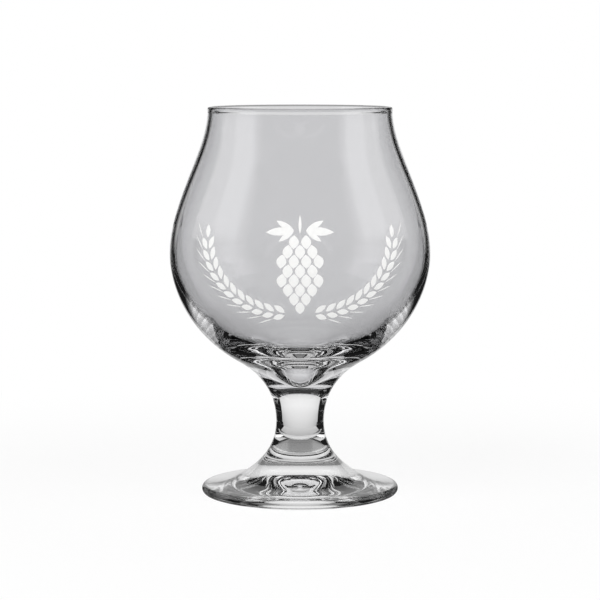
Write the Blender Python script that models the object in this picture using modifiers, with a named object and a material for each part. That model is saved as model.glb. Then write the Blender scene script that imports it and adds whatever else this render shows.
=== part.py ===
# Tulip beer glass: a blown bowl, a short solid stem and a pressed foot, fused end to end.
# Sizes are in metres and +Z is up. The origin is on the table, under the middle of the stem.

import math
from collections import namedtuple

import bpy
from mathutils import Vector
from mathutils.geometry import interpolate_bezier

MM = 0.001

# Bowl, outside
HEIGHT = 151.2 * MM
RIM_RADIUS = 36.0 * MM
RIM_LEAN = math.radians(4.2)
SHOULDER_RADIUS = 41.9 * MM
SHOULDER_HEIGHT = 127.6 * MM
SHOULDER_LEAN = math.radians(21.6)
BELLY_RADIUS = 50.8 * MM
BELLY_HEIGHT = 94.3 * MM
HEEL_RADIUS = 24.2 * MM
HEEL_HEIGHT = 52.2 * MM
HEEL_LEAN = math.radians(-60.6)

# Bowl, wall and hollow: thin at the belly, thick at the heel, and drawn down to BOTTOM above the seam
WALL = 1.85 * MM
LIP_SWELL = 0.2 * MM
HEEL_WALL = 6.4 * MM
HOLLOW_LEAN = math.radians(-75.5)
BOTTOM = 2.74 * MM

# Stem and foot
WAIST_RADIUS = 9.35 * MM
WAIST_HEIGHT = 28.4 * MM
FLARE_RADIUS = 23.7 * MM
FLARE_HEIGHT = 6.6 * MM
FLARE_LEAN = math.radians(56.8)
FOOT_RADIUS = 38.5 * MM
FOOT_EDGE = 3.6 * MM
FOOT_SLOPE = math.radians(6.0)

# Underside of the foot: a flat rest ring round a bell-shaped kick
REST_WIDTH = 4.0 * MM
KICK_RADIUS = 16.0 * MM
KICK_HEIGHT = 2.2 * MM
KICK_SLOPE = math.radians(20.0)
KICK_TOP = 5.0 * MM

# Fused seams: their heights, and the gap that keeps the pieces apart there
BOWL_SEAM = 42.5 * MM
FOOT_SEAM = 16.5 * MM
SEAM_GAP = 0.3 * MM

# How far each handle of the outline reaches, as a share of the stretch that it bends
NECK_PULL = (0.36, 0.36)
SHOULDER_PULL = (0.37, 0.31)
BELLY_PULL = (0.28, 0.43)
HEEL_PULL = (0.09, 0.56)
WAIST_PULL = (0.44, 0.32)
FLARE_PULL = (0.25, 0.50)
HOLLOW_PULL = (0.364, 0.31)
FLOOR_PULL = (0.503, 0.165)
KICK_PULL = (0.40, 0.40)

# Facets: turns round the axis, and points along each stretch of the outline
TURNS = 64
STRETCH_POINTS = 9
LIP_POINTS = 9
EDGE_POINTS = 4
KICK_POINTS = 6

Knot = namedtuple("Knot", "radius height lean")


def clear_scene():
    for old in list(bpy.data.objects):
        bpy.data.objects.remove(old, do_unlink=True)


def glass(name, colour, roughness):
    material = bpy.data.materials.new(name)
    material.use_nodes = True
    shader = material.node_tree.nodes["Principled BSDF"]
    shader.inputs["Base Color"].default_value = (*colour, 1.0)
    shader.inputs["Roughness"].default_value = roughness
    shader.inputs["Metallic"].default_value = 0.0
    shader.inputs["IOR"].default_value = 1.52
    shader.inputs["Transmission Weight"].default_value = 1.0
    return material


def at(knot):
    return Vector((knot.radius, 0.0, knot.height))


def stretch(upper, lower, pull, count):
    # One curve from knot to knot; a lean is the outline's angle from straight down, outwards
    length = (at(lower) - at(upper)).length
    leave = Vector((math.sin(upper.lean), 0.0, -math.cos(upper.lean))) * length * pull[0]
    arrive = Vector((math.sin(lower.lean), 0.0, -math.cos(lower.lean))) * length * pull[1]
    return interpolate_bezier(at(upper), at(upper) + leave, at(lower) - arrive, at(lower), count)


def outline(knots, pulls, count=STRETCH_POINTS):
    points = [at(knots[0])]
    for upper, lower, pull in zip(knots, knots[1:], pulls):
        points += stretch(upper, lower, pull, count)[1:]
    return points


def arc(centre_radius, centre_height, radius, start, end, count):
    angles = [start + (end - start) * i / (count - 1) for i in range(count)]
    return [
        Vector((centre_radius + radius * math.cos(a), 0.0, centre_height + radius * math.sin(a)))
        for a in angles
    ]


def inset(knot, wall, lean):
    # The knot across the wall from this one, on the inner face
    return Knot(
        knot.radius - wall * math.cos(knot.lean),
        knot.height - wall * math.sin(knot.lean),
        lean,
    )


def cut_at(points, height):
    # Splits a falling outline at a height; both halves end or start on the cut
    for i, (upper, lower) in enumerate(zip(points, points[1:])):
        if upper.z >= height >= lower.z:
            share = (upper.z - height) / (upper.z - lower.z)
            cut = upper.lerp(lower, share)
            return points[:i + 1] + [cut], [cut] + points[i + 1:]
    raise ValueError("the outline does not reach the seam")


def on_axis(height):
    return Vector((0.0, 0.0, height))


# The lip is a full round, a little thicker than the wall, that meets both faces of the wall
lip_radius = WALL / 2 + LIP_SWELL
lip_centre = (RIM_RADIUS - lip_radius, HEIGHT - lip_radius)
lip_reach = math.acos((WALL / 2) / lip_radius)
neck_radius = lip_centre[0] + WALL / 2
neck_height = lip_centre[1] - lip_radius * math.sin(lip_reach)

# The foot's top runs on to its rounded edge, and the edge to the rest ring
edge_round = FOOT_EDGE / 2
edge_centre = (FOOT_RADIUS - edge_round, edge_round)
edge_top = math.pi / 2 - FOOT_SLOPE
edge_radius = edge_centre[0] + edge_round * math.cos(edge_top)
edge_height = edge_centre[1] + edge_round * math.sin(edge_top)

neck = Knot(neck_radius, neck_height, RIM_LEAN)
shoulder = Knot(SHOULDER_RADIUS, SHOULDER_HEIGHT, SHOULDER_LEAN)
belly = Knot(BELLY_RADIUS, BELLY_HEIGHT, 0.0)
heel = Knot(HEEL_RADIUS, HEEL_HEIGHT, HEEL_LEAN)
waist = Knot(WAIST_RADIUS, WAIST_HEIGHT, 0.0)
flare = Knot(FLARE_RADIUS, FLARE_HEIGHT, FLARE_LEAN)
edge = Knot(edge_radius, edge_height, edge_top)
inwards = -math.pi / 2
hollow_neck = Knot(neck_radius - WALL, neck_height, RIM_LEAN)
hollow_floor = Knot(0.0, BOWL_SEAM + BOTTOM, inwards)
rest_inner = Knot(edge_centre[0] - REST_WIDTH, 0.0, inwards)
kick_side = Knot(KICK_RADIUS, KICK_HEIGHT, inwards - KICK_SLOPE)
kick_top = Knot(0.0, KICK_TOP, inwards)

outside = outline(
    [neck, shoulder, belly, heel, waist, flare, edge],
    [NECK_PULL, SHOULDER_PULL, BELLY_PULL, HEEL_PULL, WAIST_PULL, FLARE_PULL],
)
bowl_side, below_bowl = cut_at(outside, BOWL_SEAM + SEAM_GAP / 2)
stem_side = cut_at(cut_at(below_bowl, BOWL_SEAM - SEAM_GAP / 2)[1], FOOT_SEAM + SEAM_GAP / 2)[0]
foot_side = cut_at(below_bowl, FOOT_SEAM - SEAM_GAP / 2)[1]


def bowl_profile():
    hollow_shoulder = inset(shoulder, WALL, shoulder.lean)
    hollow_belly = inset(belly, WALL, belly.lean)
    hollow_heel = inset(heel, HEEL_WALL, HOLLOW_LEAN)
    hollow = outline(
        [hollow_neck, hollow_shoulder, hollow_belly, hollow_heel, hollow_floor],
        [NECK_PULL, SHOULDER_PULL, HOLLOW_PULL, FLOOR_PULL],
    )
    lip = arc(*lip_centre, lip_radius, math.pi + lip_reach, -lip_reach, LIP_POINTS)
    return hollow[::-1] + lip[1:-1] + bowl_side + [on_axis(bowl_side[-1].z)]


def stem_profile():
    return [on_axis(stem_side[0].z)] + stem_side + [on_axis(stem_side[-1].z)]


def foot_profile():
    edge_upper = arc(*edge_centre, edge_round, edge_top, 0.0, EDGE_POINTS)
    edge_lower = arc(*edge_centre, edge_round, 0.0, -math.pi / 2, EDGE_POINTS)
    kick = outline([rest_inner, kick_side, kick_top], [KICK_PULL, KICK_PULL], KICK_POINTS)
    return [on_axis(foot_side[0].z)] + foot_side + edge_upper[1:] + edge_lower[1:] + kick


def turned(name, profile, collection, parent, material):
    # A profile at +X, running down the outer side, turned round Z
    mesh = bpy.data.meshes.new(name)
    edges = [(i, i + 1) for i in range(len(profile) - 1)]
    mesh.from_pydata(profile, edges, [])
    mesh.materials.append(material)
    piece = bpy.data.objects.new(name, mesh)
    piece.parent = parent
    collection.objects.link(piece)
    screw = piece.modifiers.new("Turn", "SCREW")
    screw.axis = "Z"
    screw.angle = 2 * math.pi
    screw.steps = TURNS
    screw.render_steps = TURNS
    screw.use_merge_vertices = True
    screw.merge_threshold = 1e-6
    screw.use_smooth_shade = True
    return piece


def build():
    clear_scene()
    collection = bpy.data.collections.new("tulip_beer_glass")
    bpy.context.scene.collection.children.link(collection)
    base = bpy.data.objects.new("table_point", None)
    collection.objects.link(base)
    turned("bowl", bowl_profile(), collection, base, glass("bowl_glass", (0.88, 0.89, 0.89), 0.01))
    turned("stem", stem_profile(), collection, base, glass("stem_glass", (0.94, 0.95, 0.95), 0.01))
    turned("foot", foot_profile(), collection, base, glass("foot_glass", (0.94, 0.95, 0.95), 0.02))


build()
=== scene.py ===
# Tulip beer glass: blown bowl, solid stem and pressed foot, with a white fired decoration on the bowl.
import math

import bpy
import bmesh
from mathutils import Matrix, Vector
from mathutils.geometry import interpolate_bezier


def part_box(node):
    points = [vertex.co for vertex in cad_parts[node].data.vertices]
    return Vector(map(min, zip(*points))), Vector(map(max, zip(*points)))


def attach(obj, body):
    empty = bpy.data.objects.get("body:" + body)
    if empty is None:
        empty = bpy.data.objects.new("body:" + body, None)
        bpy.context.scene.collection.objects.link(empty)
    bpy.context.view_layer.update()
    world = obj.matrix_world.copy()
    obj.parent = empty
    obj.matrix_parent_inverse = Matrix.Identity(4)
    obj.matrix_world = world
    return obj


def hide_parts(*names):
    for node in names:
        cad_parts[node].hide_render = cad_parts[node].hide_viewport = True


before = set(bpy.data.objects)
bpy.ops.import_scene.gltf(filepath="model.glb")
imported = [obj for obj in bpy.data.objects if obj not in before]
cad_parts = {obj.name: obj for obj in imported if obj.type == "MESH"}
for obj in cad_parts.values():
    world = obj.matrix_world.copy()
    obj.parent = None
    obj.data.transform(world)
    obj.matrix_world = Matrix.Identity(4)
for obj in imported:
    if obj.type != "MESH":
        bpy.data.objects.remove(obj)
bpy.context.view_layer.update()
scene = bpy.context.scene
scene.view_settings.view_transform = "Standard"
mm = 0.001
print("frame loaded:", sorted(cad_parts))


class Wire:
    # A node socket that takes part in plain arithmetic
    def __init__(self, board, socket):
        self.board = board
        self.socket = socket

    def __add__(self, other):
        return self.board.maths("ADD", self, other)

    def __sub__(self, other):
        return self.board.maths("SUBTRACT", self, other)

    def __rsub__(self, other):
        return self.board.maths("SUBTRACT", other, self)

    def __mul__(self, other):
        return self.board.maths("MULTIPLY", self, other)

    def __truediv__(self, other):
        return self.board.maths("DIVIDE", self, other)

    def __rtruediv__(self, other):
        return self.board.maths("DIVIDE", other, self)

    def __pow__(self, other):
        return self.board.maths("POWER", self, other)

    def __rpow__(self, other):
        return self.board.maths("POWER", other, self)

    def __gt__(self, other):
        return self.board.maths("GREATER_THAN", self, other)

    def __lt__(self, other):
        return self.board.maths("LESS_THAN", self, other)

    __radd__ = __add__
    __rmul__ = __mul__


class Board:
    # A node tree, and the one way that nodes get into it
    def __init__(self, tree):
        self.tree = tree

    def add(self, kind, settings=None, sockets=None, out=0):
        node = self.tree.nodes.new(kind)
        for key, value in (settings or {}).items():
            if key == "stops":
                self.setStops(node.color_ramp, value)
            else:
                setattr(node, key, value)
        for key, value in (sockets or {}).items():
            if isinstance(value, Wire):
                self.tree.links.new(value.socket, node.inputs[key])
            else:
                node.inputs[key].default_value = value
        return Wire(self, node.outputs[out]) if len(node.outputs) else node

    def setStops(self, ramp, stops):
        while len(ramp.elements) < len(stops):
            ramp.elements.new(0.5)
        for element, (place, colour) in zip(ramp.elements, stops):
            element.position = place
            element.color = colour

    # Short forms of the nodes that come up most
    def maths(self, operation, *values):
        return self.add("ShaderNodeMath", {"operation": operation}, dict(enumerate(values)))

    def split(self, vector, axes):
        return [self.add("ShaderNodeSeparateXYZ", None, {0: vector}, axis) for axis in axes]

    def joined(self, x, y, z):
        return self.add("ShaderNodeCombineXYZ", None, {"X": x, "Y": y, "Z": z})

    def mapped(self, value, source, target=(0.0, 1.0), style="LINEAR"):
        return self.add("ShaderNodeMapRange", {"interpolation_type": style}, {
            "Value": value, "From Min": source[0], "From Max": source[1],
            "To Min": target[0], "To Max": target[1],
        })

    def ramp(self, value, stops, cast=(1.0, 1.0, 1.0)):
        # The stops are levels at places along the value, and the cast is their hue
        reach = stops[-1][0]
        shares = [(at / reach, (*(level * part for part in cast), 1.0)) for at, level in stops]
        return self.add("ShaderNodeValToRGB", {"stops": shares}, {0: value / reach})

    def place(self):
        return self.add("ShaderNodeTexCoord", None, None, "Object")

    def lit(self, strength):
        return self.add("ShaderNodeEmission", None, {"Color": (1, 1, 1, 1), "Strength": strength})

    def mixed(self, share, first, second):
        return self.add("ShaderNodeMixShader", None, {0: share, 1: first, 2: second})

    def surface(self, shader):
        return self.add("ShaderNodeOutputMaterial", None, {"Surface": shader})


def newMaterial(name):
    material = bpy.data.materials.new(name)
    material.use_nodes = True
    material.node_tree.nodes.clear()
    return material, Board(material.node_tree)


def addObject(name, data):
    thing = bpy.data.objects.new(name, data)
    scene.collection.objects.link(thing)
    return thing


# Camera: level and distance worked out from the ellipses of the rim and the foot
cameraSet = {
    "distance": 0.8992,
    "height": 0.1728,
    "pitch": math.radians(6.152),
    "lens": 138.87,
    "sensor": 36.0,
    "clipEnd": 20.0,
}


def makeCamera(s):
    data = bpy.data.cameras.new("photoCamera")
    data.lens = s["lens"]
    data.sensor_width = s["sensor"]
    data.clip_end = s["clipEnd"]
    camera = addObject("photoCamera", data)
    camera.location = (0.0, -s["distance"], s["height"])
    camera.rotation_euler = (math.pi / 2 - s["pitch"], 0.0, 0.0)
    scene.camera = camera
    bpy.context.view_layer.update()
    return camera


camera = makeCamera(cameraSet)
print("camera placed")


# Glass finishes: the tint goes by height. On the bowl it is painted shade, darker towards the lower bowl and
# in a thin line at the top of the rim; the stem's is even and the foot's a little darker at its bottom.
# Wiping leaves faint marks
glassSet = {
    "ior": 1.52,
    "markDetail": 4.0,
    "markRoughness": 0.6,
    "markSpan": (0.45, 0.8),
}
bowlGlassSet = glassSet | {
    # Painted shade: the bowl is darker towards its lower part and in a thin line at the top of the rim
    "tint": [
        (0.042, 0.95), (0.052, 0.92), (0.058, 0.79), (0.070, 0.80), (0.085, 0.855), (0.105, 0.885),
        (0.1498, 0.885), (0.1506, 0.80), (0.1512, 0.60),
    ],
    "cast": (1.002, 1.002, 1.015),
    "lip": {"radius": (0.0345, 0.0349), "height": (0.1504, 0.1509), "loss": 0.75},
    "shift": 0.012,
    "roughness": (0.0, 0.02),
    "markScale": 38.0,
}
stemGlassSet = glassSet | {
    "tint": [(0.0, 0.985), (0.06, 0.985)],
    "cast": (0.998, 0.998, 1.001),
    "shift": 0.008,
    "roughness": (0.0, 0.012),
    "markScale": 60.0,
}
footGlassSet = glassSet | {
    "tint": [(0.0, 0.975), (0.004, 0.98), (0.02, 0.985)],
    "cast": (0.998, 0.998, 1.001),
    "shift": 0.010,
    "roughness": (0.0, 0.02),
    "markScale": 45.0,
}


def lipShade(board, place, height, s):
    # Painted shade: the inner edge of the rolled lip is darker
    x, y = board.split(place, "XY")
    inside = board.mapped((x * x + y * y) ** 0.5, s["radius"], (1.0, 0.0))
    top = board.mapped(height, s["height"])
    return inside * top * s["loss"]


def clearGlass(name, s):
    material, board = newMaterial(name)
    place = board.place()
    height = board.split(place, "Z")[0]
    tint = board.ramp(height, s["tint"], s["cast"])
    marks = board.add("ShaderNodeTexNoise", None, {
        "Vector": place, "Scale": s["markScale"], "Detail": s["markDetail"], "Roughness": s["markRoughness"],
    })
    value = 1.0 - marks * s["shift"]
    if "lip" in s:
        value = value * (1.0 - lipShade(board, place, height, s["lip"]))
    colour = board.add("ShaderNodeHueSaturation", None, {"Value": value, "Color": tint})
    rough = board.mapped(marks, s["markSpan"], s["roughness"])
    board.surface(board.add("ShaderNodeBsdfPrincipled", None, {
        "Base Color": colour, "Roughness": rough, "IOR": s["ior"], "Transmission Weight": 1.0,
    }))
    return material


def fusedGlass(name):
    # Inside the glass where two pieces are fused, light goes straight on
    material, board = newMaterial(name)
    board.surface(board.add("ShaderNodeBsdfPrincipled", None, {
        "Base Color": (1, 1, 1, 1), "Roughness": 0.0, "IOR": 1.0, "Transmission Weight": 1.0,
    }))
    return material


bowlGlass = clearGlass("bowlGlass", bowlGlassSet)
stemGlass = clearGlass("stemGlass", stemGlassSet)
footGlass = clearGlass("footGlass", footGlassSet)
fusedSeam = fusedGlass("fusedSeam")
print("glass finishes mixed")


# Outline of the glass, as knots of (radius, height, lean); a lean is the angle from straight down
shapeSet = {
    "rimRadius": 36.0 * mm,
    "rimLean": math.radians(4.2),
    "wall": 1.85 * mm,
    "lipSwell": 0.2 * mm,
    "shoulder": (41.9 * mm, 127.6 * mm, math.radians(21.6)),
    "bellyHeight": 94.3 * mm,
    "heel": (24.2 * mm, 52.2 * mm, math.radians(-60.6)),
    "waist": (9.35 * mm, 28.4 * mm, 0.0),
    "flare": (23.7 * mm, 6.6 * mm, math.radians(56.8)),
    "footEdge": 3.6 * mm,
    "footSlope": math.radians(6.0),
    "heelWall": 6.4 * mm,
    "hollowLean": math.radians(-75.5),
    "bottom": 2.74 * mm,
    "restWidth": 4.0 * mm,
    "kickSide": (16.0 * mm, 2.2 * mm, math.radians(-110.0)),
    "kickTop": 5.0 * mm,
    "pulls": [(0.36, 0.36), (0.37, 0.31), (0.28, 0.43), (0.09, 0.56), (0.44, 0.32), (0.25, 0.50)],
    "hollowPulls": [(0.364, 0.31), (0.503, 0.165)],
    "kickPulls": [(0.40, 0.40), (0.40, 0.40)],
    "printRoom": 0.07 * mm,  # the belly stands back so that the decoration fits in the CAD box
    "seamGap": 0.02 * mm,
    "stretchPoints": 40,
    "lipPoints": 25,
    "edgePoints": 12,
    "capPoints": 6,
    "turns": {"bowl": 224, "stem": 160, "foot": 224},
    "mergeWithin": 1e-7,
    "crispAngle": 0.6,
}


def stretch(upper, lower, pull, count):
    # One curve from knot to knot
    a, b = Vector((upper[0], 0, upper[1])), Vector((lower[0], 0, lower[1]))
    reach = (b - a).length
    leave = Vector((math.sin(upper[2]), 0, -math.cos(upper[2]))) * reach * pull[0]
    arrive = Vector((math.sin(lower[2]), 0, -math.cos(lower[2]))) * reach * pull[1]
    return interpolate_bezier(a, a + leave, b - arrive, b, count)


def outline(knots, pulls, count):
    points = [Vector((knots[0][0], 0, knots[0][1]))]
    for upper, lower, pull in zip(knots, knots[1:], pulls):
        points += stretch(upper, lower, pull, count)[1:]
    return points


def arc(centre, radius, start, end, count):
    turns = [start + (end - start) * i / (count - 1) for i in range(count)]
    return [Vector((centre[0] + radius * math.cos(t), 0, centre[1] + radius * math.sin(t))) for t in turns]


def acrossWall(knot, wall, lean):
    # The knot on the other face of the wall
    return (knot[0] - wall * math.cos(knot[2]), knot[1] - wall * math.sin(knot[2]), lean)


def cutAt(points, height):
    # Both halves of the outline end or start on the cut
    for i, (upper, lower) in enumerate(zip(points, points[1:])):
        if upper.z >= height >= lower.z:
            cut = upper.lerp(lower, (upper.z - height) / (upper.z - lower.z))
            return points[:i + 1] + [cut], [cut] + points[i + 1:]


def capLine(rim, count, inwards):
    # A flat seam face, between the axis and the rim point
    line = [Vector((rim.x * i / count, 0, rim.z)) for i in range(count)]
    return line[::-1] if inwards else line


def glassProfiles(s):
    # Each profile comes with the number of points in its upper and lower seam face
    bowlLow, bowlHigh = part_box("bowl")
    stemLow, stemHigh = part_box("stem")
    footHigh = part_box("foot")[1]
    height, footRadius = bowlHigh.z, footHigh.x
    belly = (bowlHigh.x - s["printRoom"], s["bellyHeight"], 0.0)
    bowlSeam, footSeam = (bowlLow.z + stemHigh.z) / 2, (footHigh.z + stemLow.z) / 2
    wall, count, inwards = s["wall"], s["stretchPoints"], -math.pi / 2

    lipRadius = wall / 2 + s["lipSwell"]
    lipCentre = (s["rimRadius"] - lipRadius, height - lipRadius)
    lipReach = math.acos(wall / 2 / lipRadius)
    neckHeight = lipCentre[1] - lipRadius * math.sin(lipReach)
    neck = (lipCentre[0] + wall / 2, neckHeight, s["rimLean"])
    hollowNeck = (lipCentre[0] - wall / 2, neckHeight, s["rimLean"])

    edgeRound = s["footEdge"] / 2
    edgeCentre = (footRadius - edgeRound, edgeRound)
    edgeTop = math.pi / 2 - s["footSlope"]
    coneEnd = arc(edgeCentre, edgeRound, edgeTop, 0.0, 2)[0]
    edgeStart = (coneEnd.x, coneEnd.z, edgeTop)

    shoulder, heel = s["shoulder"], s["heel"]
    outside = outline([neck, shoulder, belly, heel, s["waist"], s["flare"], edgeStart], s["pulls"], count)
    gap = s["seamGap"] / 2
    bowlSide, rest = cutAt(outside, bowlSeam + gap)
    stemSide = cutAt(cutAt(rest, bowlSeam - gap)[1], footSeam + gap)[0]
    footSide = cutAt(rest, footSeam - gap)[1]

    hollow = outline([
        hollowNeck, acrossWall(shoulder, wall, shoulder[2]), acrossWall(belly, wall, 0.0),
        acrossWall(heel, s["heelWall"], s["hollowLean"]), (0.0, bowlSeam + s["bottom"], inwards),
    ], s["pulls"][:2] + s["hollowPulls"], count)
    lip = arc(lipCentre, lipRadius, math.pi + lipReach, -lipReach, s["lipPoints"])
    bowl = hollow[::-1] + lip[1:-1] + bowlSide
    bowlCap = capLine(bowlSide[-1], s["capPoints"], True)

    stemTop = capLine(stemSide[0], s["capPoints"], False)
    stemEnd = capLine(stemSide[-1], s["capPoints"], True)

    footTop = capLine(footSide[0], s["capPoints"], False)
    edge = arc(edgeCentre, edgeRound, edgeTop, 0.0, s["edgePoints"])[1:]
    edge += arc(edgeCentre, edgeRound, 0.0, -math.pi / 2, s["edgePoints"])[1:]
    restInner = (edgeCentre[0] - s["restWidth"], 0.0, inwards)
    kick = outline([restInner, s["kickSide"], (0.0, s["kickTop"], inwards)], s["kickPulls"], count)
    return {
        "bowl": (bowl + bowlCap, 0, len(bowlCap)),
        "stem": (stemTop + stemSide + stemEnd, len(stemTop), len(stemEnd)),
        "foot": (footTop + footSide + edge + kick, len(footTop), 0),
        "side": bowlSide,
        "belly": belly,
    }


def newTree(name, sockets, result):
    tree = bpy.data.node_groups.new(name, "GeometryNodeTree")
    for socket, kind in sockets.items():
        tree.interface.new_socket(socket, in_out="INPUT", socket_type="NodeSocket" + kind)
    tree.interface.new_socket(result, in_out="OUTPUT", socket_type="NodeSocketGeometry")
    board = Board(tree)
    return board, {socket: board.add("NodeGroupInput", out=socket) for socket in sockets}


def namedValue(board, name):
    return board.add("GeometryNodeInputNamedAttribute", {"data_type": "FLOAT"}, {"Name": name})


def crispSmooth(board, shape, angle):
    # Smooth all over, with sharp bends left crisp
    smooth = board.add("GeometryNodeSetShadeSmooth", {"domain": "FACE"}, {0: shape})
    bend = board.add("GeometryNodeInputMeshEdgeAngle")
    return board.add("GeometryNodeSetShadeSmooth", {"domain": "EDGE"}, {
        0: smooth, "Selection": bend > angle, "Shade Smooth": False,
    })


def turnTree(s):
    board, given = newTree("turnedGlass", {
        "Profile": "Geometry", "Turns": "Int", "Glass": "Material", "Seam": "Material",
    }, "Piece")
    profile, turns = given["Profile"], given["Turns"]

    # A grid: along it run the points of the profile, and across it the turns
    count = board.add("GeometryNodeAttributeDomainSize", {"component": "MESH"}, {0: profile})
    ring = turns + 1
    grid = board.add("GeometryNodeMeshGrid", None, {"Vertices X": count, "Vertices Y": ring})
    index = board.add("GeometryNodeInputIndex")
    along = board.maths("FLOOR", (index + 0.5) / ring)
    angle = (index - along * ring) / turns * (2 * math.pi)

    def fromProfile(kind, value):
        settings = {"data_type": kind, "domain": "POINT"}
        sockets = {"Geometry": profile, "Value": value, "Index": along}
        return board.add("GeometryNodeSampleIndex", settings, sockets)

    radius, height = board.split(fromProfile("FLOAT_VECTOR", board.add("GeometryNodeInputPosition")), "XZ")
    spun = board.joined(radius * board.maths("COSINE", angle), radius * board.maths("SINE", angle), height)
    kept = board.add("GeometryNodeStoreNamedAttribute", {"data_type": "FLOAT", "domain": "POINT"}, {
        "Geometry": grid, "Name": "seamCap", "Value": fromProfile("FLOAT", namedValue(board, "cap")),
    })
    shaped = board.add("GeometryNodeSetPosition", None, {"Geometry": kept, "Position": spun})
    closed = board.add("GeometryNodeMergeByDistance", None, {
        "Geometry": shaped, "Distance": s["mergeWithin"],
    })
    crisp = crispSmooth(board, closed, s["crispAngle"])
    solid = board.add("GeometryNodeRealizeInstances", None, {0: crisp})
    painted = board.add("GeometryNodeSetMaterial", None, {0: solid, "Material": given["Glass"]})
    wholeFace = namedValue(board, "seamCap") > 0.999  # every corner of the face lies in the seam
    fused = board.add("GeometryNodeSetMaterial", None, {
        0: painted, "Selection": wholeFace, "Material": given["Seam"],
    })
    board.add("NodeGroupOutput", None, {0: fused})
    return board.tree


def socketId(tree, name):
    return next(i.identifier for i in tree.interface.items_tree if i.name == name and i.in_out == "INPUT")


def bakeNodes(name, holder, tree, values):
    # The result becomes a plain mesh, and the modifier goes with its holder
    nodes = holder.modifiers.new("nodes", "NODES")
    nodes.node_group = tree
    for key, value in values.items():
        nodes[socketId(tree, key)] = value
    ready = holder.evaluated_get(bpy.context.evaluated_depsgraph_get())
    mesh = bpy.data.meshes.new_from_object(ready)
    mesh.name = name
    bpy.data.objects.remove(holder, do_unlink=True)
    return mesh


def turnOutwards(mesh):
    work = bmesh.new()
    work.from_mesh(mesh)
    if work.calc_volume(signed=True) < 0:
        bmesh.ops.reverse_faces(work, faces=work.faces)
        work.to_mesh(mesh)
    work.free()


def turnPiece(name, node, profile, tree, turns, material):
    points, capStart, capEnd = profile
    last = len(points) - 1
    line = bpy.data.meshes.new(name + "Line")
    line.from_pydata(points, [(i, i + 1) for i in range(last)], [])
    caps = line.attributes.new("cap", "FLOAT", "POINT")
    for i in range(len(points)):
        atStart = capStart > 0 and i <= capStart
        atEnd = capEnd > 0 and i >= last - capEnd
        caps.data[i].value = float(atStart or atEnd)
    mesh = bakeNodes(name, addObject(name + "Line", line), tree, {
        "Turns": turns, "Glass": material, "Seam": fusedSeam,
    })
    turnOutwards(mesh)
    piece = addObject(name, mesh)
    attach(piece, "root")
    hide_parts(node)
    print(name, len(mesh.polygons), "faces")


profiles = glassProfiles(shapeSet)
turned = turnTree(shapeSet)
turnPiece("bowl_glass", "bowl", profiles["bowl"], turned, shapeSet["turns"]["bowl"], bowlGlass)
turnPiece("stem_glass", "stem", profiles["stem"], turned, shapeSet["turns"]["stem"], stemGlass)
turnPiece("foot_glass", "foot", profiles["foot"], turned, shapeSet["turns"]["foot"], footGlass)


# Decoration: a hop cone between two ears of barley, fired on to the front of the bowl in white enamel
printSet = {
    "hopRows": [2, 3, 4, 3, 4, 3, 2, 1],
    "hopTop": 8.4 * mm,
    "hopStep": 3.6 * mm,
    "hopSpacing": 4.6 * mm,
    "bract": (2.6 * mm, 1.9 * mm),
    "fan": math.radians(6.0),
    "stalk": {"place": (0.0, 15.0 * mm), "size": (3.6 * mm, 0.6 * mm)},
    "leafBase": (2.3 * mm, 12.7 * mm),
    "lobes": [
        (math.radians(-36.0), 3.5 * mm), (math.radians(-4.0), 5.4 * mm), (math.radians(28.0), 3.9 * mm),
    ],
    "lobeSlim": 0.29,
    "ear": [
        (8.5 * mm, -19.0 * mm), (25.0 * mm, -17.5 * mm), (37.5 * mm, -5.0 * mm), (39.0 * mm, 11.5 * mm),
    ],
    "grains": 11,
    "grain": (2.55 * mm, 1.2 * mm),
    "grainAside": 1.75 * mm,
    "grainLean": math.radians(27.0),
    "awn": (3.6 * mm, 0.22 * mm),
    "markFacets": (16, 8),
    "lift": 0.01 * mm,
    "thickness": 0.045 * mm,
    "crispAngle": 0.6,
    "white": (0.86, 0.90),
    "warmth": 0.99,
    "roughness": (0.28, 0.42),
    "grainScale": 900.0,
    "grainDetail": 3.0,
    "grainSpan": (0.3, 0.7),
}


def markOn(side, place, turn, size):
    # A mark is a place on the unrolled wall, its turn, and its half length and half width
    return ((side * place[0], place[1]), turn if side > 0 else math.pi - turn, size)


def hopMarks(s):
    marks = []
    for i, count in enumerate(s["hopRows"]):
        for k in range(count):
            aside = k - (count - 1) / 2
            place = (aside * s["hopSpacing"], s["hopTop"] - i * s["hopStep"])
            marks.append((place, aside * s["fan"] - math.pi / 2, s["bract"]))
    marks.append((s["stalk"]["place"], math.pi / 2, s["stalk"]["size"]))
    baseX, baseY = s["leafBase"]
    for turn, half in s["lobes"]:
        place = (baseX + half * math.cos(turn), baseY + half * math.sin(turn))
        marks += [markOn(side, place, turn, (half, half * s["lobeSlim"])) for side in (1, -1)]
    return marks


def earMarks(s):
    # Grains in two rows along the ear, with an awn on each outer one, and a grain at the tip
    marks = []
    stem = interpolate_bezier(*(Vector(point) for point in s["ear"]), s["grains"] + 1)
    for side in (-1, 1):
        for start, end in zip(stem, stem[1:]):
            along = (end - start).normalized()
            outwards = Vector((along.y, -along.x))
            heading = math.atan2(along.y, along.x)
            for row in (-1, 1):
                grain = start + outwards * row * s["grainAside"]
                turn = heading - row * s["grainLean"]
                marks.append(markOn(side, grain, turn, s["grain"]))
                tip = grain + Vector((math.cos(turn), math.sin(turn))) * (s["grain"][0] + s["awn"][0])
                if row > 0:
                    marks.append(markOn(side, tip, turn, s["awn"]))
        marks.append(markOn(side, end, heading, s["grain"]))
    return marks


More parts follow.
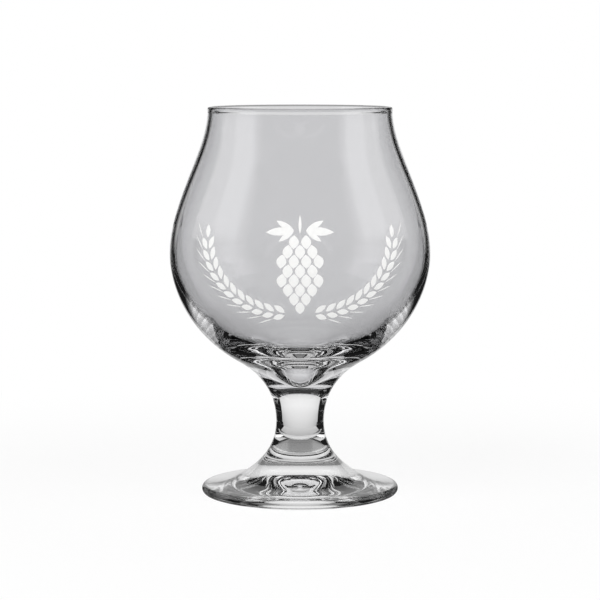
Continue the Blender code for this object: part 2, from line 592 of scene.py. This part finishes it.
def printTree(s):
    board, given = newTree("firedEnamel", {
        "Places": "Geometry", "Wall": "Object", "Belly Radius": "Float", "Belly Length": "Float",
        "Lift": "Float", "Thickness": "Float", "Enamel": "Material",
    }, "Print")

    # One mark: a ball cut flat underneath and drawn out to two points
    segments, rings = s["markFacets"]
    ball = board.add("GeometryNodeMeshUVSphere", None, {"Segments": segments, "Rings": rings, "Radius": 1.0})
    x, y, z = board.split(board.add("GeometryNodeInputPosition"), "XYZ")
    taper = board.maths("MAXIMUM", 1.0 - x * x, 0.0) ** 0.5
    lens = board.joined(x, y * taper, board.maths("MAXIMUM", z, 0.0))
    mark = board.add("GeometryNodeSetPosition", None, {"Geometry": ball, "Position": lens})

    turn, length, width = (namedValue(board, name) for name in ("turn", "length", "width"))
    spin = board.add("FunctionNodeEulerToRotation", None, {0: board.joined(0.0, 0.0, turn)})
    laid = board.add("GeometryNodeInstanceOnPoints", None, {
        "Points": given["Places"], "Instance": mark, "Rotation": spin,
        "Scale": board.joined(length, width, given["Thickness"]),
    })
    solid = board.add("GeometryNodeRealizeInstances", None, {0: laid})

    # The flat design is rolled on to the wall: across goes round the belly, up goes along the outline
    line = board.add("GeometryNodeObjectInfo", None, {"Object": given["Wall"]}, "Geometry")
    settings = {"mode": "LENGTH", "use_all_curves": True}
    sockets = {"Curves": line, "Length": given["Belly Length"] - y}
    radius, height = board.split(board.add("GeometryNodeSampleCurve", settings, sockets, "Position"), "XZ")
    outwards, falling = board.split(board.add("GeometryNodeSampleCurve", settings, sockets, "Tangent"), "XZ")
    raised = given["Lift"] + z
    reach = radius - falling * raised
    angle = x / given["Belly Radius"]
    rolled = board.joined(
        reach * board.maths("SINE", angle),
        reach * board.maths("COSINE", angle) * -1.0,
        height + outwards * raised,
    )
    wrapped = board.add("GeometryNodeSetPosition", None, {"Geometry": solid, "Position": rolled})
    crisp = crispSmooth(board, wrapped, s["crispAngle"])
    painted = board.add("GeometryNodeSetMaterial", None, {0: crisp, "Material": given["Enamel"]})
    board.add("NodeGroupOutput", None, {0: painted})
    return board.tree


def whiteEnamel(s):
    material, board = newMaterial("whiteEnamel")
    grain = board.add("ShaderNodeTexNoise", None, {
        "Vector": board.place(), "Scale": s["grainScale"], "Detail": s["grainDetail"],
    })
    whites = [(level, level, level * s["warmth"], 1.0) for level in s["white"]]
    white = board.add("ShaderNodeValToRGB", {"stops": list(zip(s["grainSpan"], whites))}, {0: grain})
    rough = board.mapped(grain, (0.0, 1.0), s["roughness"])
    board.surface(board.add("ShaderNodeBsdfPrincipled", None, {"Base Color": white, "Roughness": rough}))
    return material


def wallCurve(side):
    line = bpy.data.curves.new("printWall", "CURVE")
    line.dimensions = "3D"
    spline = line.splines.new("POLY")
    spline.points.add(len(side) - 1)
    for point, place in zip(spline.points, side):
        point.co = (*place, 1.0)
    return addObject("printWall", line)


def makePrint(s, side, belly):
    marks = hopMarks(s) + earMarks(s)
    flat = bpy.data.meshes.new("printPlaces")
    flat.from_pydata([(*place, 0.0) for place, turn, size in marks], [], [])
    columns = {
        "turn": [turn for place, turn, size in marks],
        "length": [size[0] for place, turn, size in marks],
        "width": [size[1] for place, turn, size in marks],
    }
    for name, values in columns.items():
        flat.attributes.new(name, "FLOAT", "POINT").data.foreach_set("value", values)
    wall = wallCurve(side)
    nearest = min(range(len(side)), key=lambda i: abs(side[i].z - belly[1]))
    length = sum((b - a).length for a, b in zip(side[:nearest], side[1:nearest + 1]))
    mesh = bakeNodes("bowl_print", addObject("printPlaces", flat), printTree(s), {
        "Wall": wall, "Belly Radius": belly[0], "Belly Length": length,
        "Lift": s["lift"], "Thickness": s["thickness"], "Enamel": whiteEnamel(s),
    })
    bpy.data.objects.remove(wall, do_unlink=True)
    piece = addObject("bowl_print", mesh)
    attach(piece, "root")
    print("bowl_print", len(marks), "marks", len(mesh.polygons), "faces")


makePrint(printSet, profiles["side"], profiles["belly"])


# Panels that clear glass shows. Sides are (place, half width), and glows are (place, level).
# Rows round the glass are (height, start, end), with azimuth 0 towards the camera and 180 behind.
cardSet = {
    "away": 0.085,
    "sides": [
        (0.0, 0.050), (0.030, 0.053), (0.062, 0.055), (0.085, 0.060), (0.110, 0.068), (0.132, 0.066),
        (0.158, 0.063),
    ],
    "glow": [
        (0.0, 0.70), (0.010, 0.75), (0.020, 0.82), (0.035, 0.90), (0.048, 0.97), (0.062, 0.95),
        (0.085, 0.88), (0.110, 0.87), (0.158, 0.87),
    ],
    "fall": {"half": 0.055, "loss": 0.45, "top": 0.10},
    "far": {"away": 0.40, "half": 0.09, "low": 0.12, "top": 0.40, "glow": 0.87},
}
tableSet = {
    "radius": 0.605,
    "level": -0.0002,
    "black": 0.012,
    # Painted gloss: the table glows seen straight down and shows its own surface at a slant
    "steepCut": (0.27, 0.40),
    "steepFade": (0.005, 0.085),
    "steepGlow": (0.97, 0.74),
    "sheetLevel": -0.0001,
    "sheet": [(0.042, 0.032), (0.085, 0.046)],
    "strip": [(0.0, 0.0055), (0.028, 0.0055)],
    # The sheet and spots glow dimmer close to and under the glass: a painted shadow of the glass on the table
    "sheetGlow": [(0.0, 0.24), (0.028, 0.24), (0.042, 0.50), (0.085, 0.70)],
    "spots": [(0.0075, 0.017, 0.002, 0.013), (0.022, 0.037, 0.0, 0.034)],  # near, far, front, back
    "spotGlow": [(0.0, 0.35), (0.006, 0.60), (0.013, 0.85), (0.034, 0.90)],
}
ringSet = {
    "tentRadius": 0.605,
    "tentHeights": (-0.0002, 0.9),
    "black": 0.012,
    "boxRadius": 0.55,
    "boxLow": [(0.04, 44, 95), (0.16, 44, 95)],
    "boxHigh": [(0.16, 44, 108), (0.40, 44, 108), (0.50, 44, 90)],
    "boxPeak": 1.8,
    "boxGlow": [(0.0, 0.0), (0.04, 0.12), (0.06, 0.42), (0.16, 0.50), (0.25, 0.95), (0.50, 0.98)],
    "boxTurn": [(44, 0.0), (49, 0.20), (54, 0.45), (59, 0.92), (62, 1.0), (82, 1.0), (86, 0.70), (108, 0.64)],
    "flagRadius": 0.15,
    "flag": [(0.045, 103, 124), (0.30, 103, 124)],
    "wing": [(0.086, 128, 129), (0.112, 124.5, 134), (0.138, 124.5, 133.5), (0.16, 127, 131)],
    "wingGlow": 0.45,
    "cheek": [(0.0, 146, 164), (0.10, 146, 164)],
    "cheekGlow": 0.66,
    "steps": 12,
}
hands = ((-1, "Left"), (1, "Right"))
axisRadius = 0.0001
circleSteps = 90


def makeTurntable():
    # The rig turns about the glass with the camera, as on a product turntable
    table = addObject("turntable", None)
    follow = table.constraints.new("LOCKED_TRACK")
    follow.target = camera
    follow.track_axis = "TRACK_NEGATIVE_Y"
    follow.lock_axis = "LOCK_Z"
    return table


turntable = makeTurntable()


def addPanel(name, material, rows):
    # Rows of points are joined into a sheet that reflections and refractions see, and the camera doesn't
    mesh = bpy.data.meshes.new(name)
    work = bmesh.new()
    lines = [[work.verts.new(point) for point in row] for row in rows]
    for upper, lower in zip(lines, lines[1:]):
        for i in range(len(upper) - 1):
            work.faces.new((upper[i], upper[i + 1], lower[i + 1], lower[i]))
    work.to_mesh(mesh)
    work.free()
    mesh.materials.append(material)
    panel = addObject(name, mesh)
    panel.visible_camera = False
    panel.visible_diffuse = False
    panel.visible_shadow = False
    panel.visible_volume_scatter = False
    panel.parent = turntable


def curve(start, end, radius, height, steps):
    angles = [math.radians(start + (end - start) * i / steps) for i in range(steps + 1)]
    return [(radius * math.sin(a), -radius * math.cos(a), height) for a in angles]


def circle(radius, height):
    return curve(0, 360, radius, height, circleSteps)


def panelSurface(board, glow):
    # Light on its way to a diffuse surface passes the panel
    depth = board.add("ShaderNodeLightPath", None, None, "Diffuse Depth")
    board.surface(board.mixed(depth > 0.5, glow, board.add("ShaderNodeBsdfTransparent")))


def evenGlow(name, strength):
    material, board = newMaterial(name)
    panelSurface(board, board.lit(strength))
    return material


def rampGlow(board, place, axis, stops, peak=1.0, fall=None, turn=None):
    # Brightness that changes along one axis, and may fall off to the lower sides or change round the glass
    along = board.split(place, axis)[0]
    share = board.ramp(along, stops)
    if fall:
        aside = board.split(place, "X")[0] / fall["half"]
        low = board.maths("MAXIMUM", 1.0 - along / fall["top"], 0.0)
        share = share * (1.0 - aside * aside * low * fall["loss"])
    if turn:
        x, y = board.split(place, "XY")
        azimuth = board.maths("ARCTAN2", board.maths("ABSOLUTE", x), y * -1.0)
        share = share * board.ramp(azimuth, [(math.radians(at), level) for at, level in turn])
    return board.mixed(share, board.lit(0.0), board.lit(peak))


def steepGlow(board, place, s, surface):
    # The table's light panel glows when seen straight down, dimmer to the back; at a slant, and after a
    # mirror bounce, it shows the surface under it. This change with the angle is a painted gloss that stands
    # in for a finish mirroring the dark tent
    facing = board.add("ShaderNodeLayerWeight", None, {"Blend": 0.5}, "Facing")
    mirrored = board.add("ShaderNodeLightPath", None, None, "Glossy Depth") > 0.5
    upwards = board.mapped(facing, s["steepCut"], (1.0, 0.0))
    back = board.mapped(board.split(place, "Y")[0], s["steepFade"], style="SMOOTHSTEP")
    near, far = (board.lit(strength) for strength in s["steepGlow"])
    return board.mixed(upwards * (1.0 - mirrored), surface, board.mixed(back, near, far))


def makeTable(s):
    # A dark table, a pale sheet and strip on it behind the glass, and pale spots to the sides; the sheet and
    # spots carry a painted shadow of the glass close to it
    dark, board = newMaterial("tableDark")
    panelSurface(board, steepGlow(board, board.place(), s, board.lit(s["black"])))
    addPanel("darkTable", dark, [circle(radius, s["level"]) for radius in (axisRadius, s["radius"])])
    level = s["sheetLevel"]
    pale = {}
    for name in ("sheet", "spot"):
        pale[name], board = newMaterial(name + "Pale")
        place = board.place()
        panelSurface(board, steepGlow(board, place, s, rampGlow(board, place, "Y", s[name + "Glow"])))
    for name in ("sheet", "strip"):
        addPanel(name, pale["sheet"], [[(-half, y, level), (half, y, level)] for y, half in s[name]])
    for i, (near, far, front, back) in enumerate(s["spots"]):
        for side, hand in hands:
            rows = [[(side * near, y, level), (side * far, y, level)] for y in (front, back)]
            addPanel(f"spot{i}{hand}", pale["spot"], rows)


def makeCards(s):
    # A pale card close behind the glass, and a far one that shows through the mouth
    pale, board = newMaterial("cardPale")
    panelSurface(board, rampGlow(board, board.place(), "Z", s["glow"], fall=s["fall"]))
    addPanel("card", pale, [[(-half, s["away"], z), (half, s["away"], z)] for z, half in s["sides"]])
    far = s["far"]
    rows = [[(-far["half"], far["away"], z), (far["half"], far["away"], z)] for z in (far["low"], far["top"])]
    addPanel("farCard", evenGlow("farPale", far["glow"]), rows)


def makeRing(s):
    # A dark tent, and on each hand softboxes, a black flag, a dim wing and a pale cheek beside the card
    black = evenGlow("flagBlack", s["black"])
    rows = [circle(s["tentRadius"], z) for z in s["tentHeights"]]
    addPanel("darkTent", black, rows + [circle(axisRadius, s["tentHeights"][1])])
    bright, board = newMaterial("softbox")
    panelSurface(board, rampGlow(board, board.place(), "Z", s["boxGlow"], s["boxPeak"], turn=s["boxTurn"]))
    panels = {
        "boxLow": (bright, s["boxRadius"]),
        "boxHigh": (bright, s["boxRadius"]),
        "flag": (black, s["flagRadius"]),
        "wing": (evenGlow("wingPale", s["wingGlow"]), s["flagRadius"]),
        "cheek": (evenGlow("cheekPale", s["cheekGlow"]), s["flagRadius"]),
    }
    for name, (material, radius) in panels.items():
        for side, hand in hands:
            rows = [curve(start * side, end * side, radius, z, s["steps"]) for z, start, end in s[name]]
            addPanel(name + hand, material, rows)


makeTable(tableSet)
makeCards(cardSet)
makeRing(ringSet)
print("panels hung")


# Studio: a pale floor that keeps a soft shadow, a white surround and two plain lamps
floorSet = {
    "size": 8.0,
    "level": -0.0003,
    "paper": (0.9, 0.9, 0.9, 1.0),
    "white": 1.0,
    "whiteSpan": (0.10, 0.30),
    "whiteShare": (0.86, 1.0),
}
worldSet = {"light": 0.55, "white": 1.0}
lampSet = {
    "keyLamp": {"place": (-0.6, -0.7, 0.9), "aim": (0.0, 0.0, 0.07), "size": 0.7, "power": 6.0},
    "fillLamp": {"place": (0.7, -0.5, 0.7), "aim": (0.0, 0.0, 0.07), "size": 0.7, "power": 3.5},
}
lightPathSet = {"bounces": 48, "transparent": 16, "blur": 0.0}


def rayIs(board, *kinds):
    return sum(board.add("ShaderNodeLightPath", None, None, f"Is {kind} Ray") for kind in kinds)


def makeFloor(s):
    material, board = newMaterial("paleFloor")
    white = board.lit(s["white"])
    paper = board.add("ShaderNodeBsdfDiffuse", None, {"Color": s["paper"]})
    reach = board.add("ShaderNodeVectorMath", {"operation": "LENGTH"}, {0: board.place()}, "Value")
    fade = board.mapped(reach, s["whiteSpan"], s["whiteShare"], "SMOOTHSTEP")
    shade = board.mixed(fade, paper, white)
    board.surface(board.mixed(rayIs(board, "Glossy", "Transmission"), shade, white))
    mesh = bpy.data.meshes.new("floor")
    work = bmesh.new()
    bmesh.ops.create_grid(work, x_segments=1, y_segments=1, size=s["size"])
    bmesh.ops.translate(work, verts=work.verts, vec=(0, 0, s["level"]))
    work.to_mesh(mesh)
    work.free()
    mesh.materials.append(material)
    addObject("floor", mesh)


def makeWorld(s):
    world = bpy.data.worlds.new("studio")
    scene.world = world
    world.use_nodes = True
    world.node_tree.nodes.clear()
    board = Board(world.node_tree)
    plain, white = (
        board.add("ShaderNodeBackground", None, {"Color": (1, 1, 1, 1), "Strength": s[name]})
        for name in ("light", "white")
    )
    seen = board.mixed(rayIs(board, "Camera", "Glossy", "Transmission"), plain, white)
    board.add("ShaderNodeOutputWorld", None, {"Surface": seen})


def makeLamp(name, s):
    data = bpy.data.lights.new(name, "AREA")
    data.size = s["size"]
    data.energy = s["power"]
    lamp = addObject(name, data)
    lamp.location = s["place"]
    lamp.rotation_euler = (Vector(s["aim"]) - Vector(s["place"])).to_track_quat("-Z", "Y").to_euler()
    lamp.visible_camera = False
    lamp.visible_glossy = False
    lamp.visible_transmission = False
    lamp.parent = turntable


makeFloor(floorSet)
makeWorld(worldSet)
for lampName, lampValues in lampSet.items():
    makeLamp(lampName, lampValues)
scene.cycles.max_bounces = lightPathSet["bounces"]
scene.cycles.transmission_bounces = lightPathSet["bounces"]
scene.cycles.glossy_bounces = lightPathSet["bounces"]
scene.cycles.transparent_max_bounces = lightPathSet["transparent"]
scene.cycles.blur_glossy = lightPathSet["blur"]
print("studio lit")
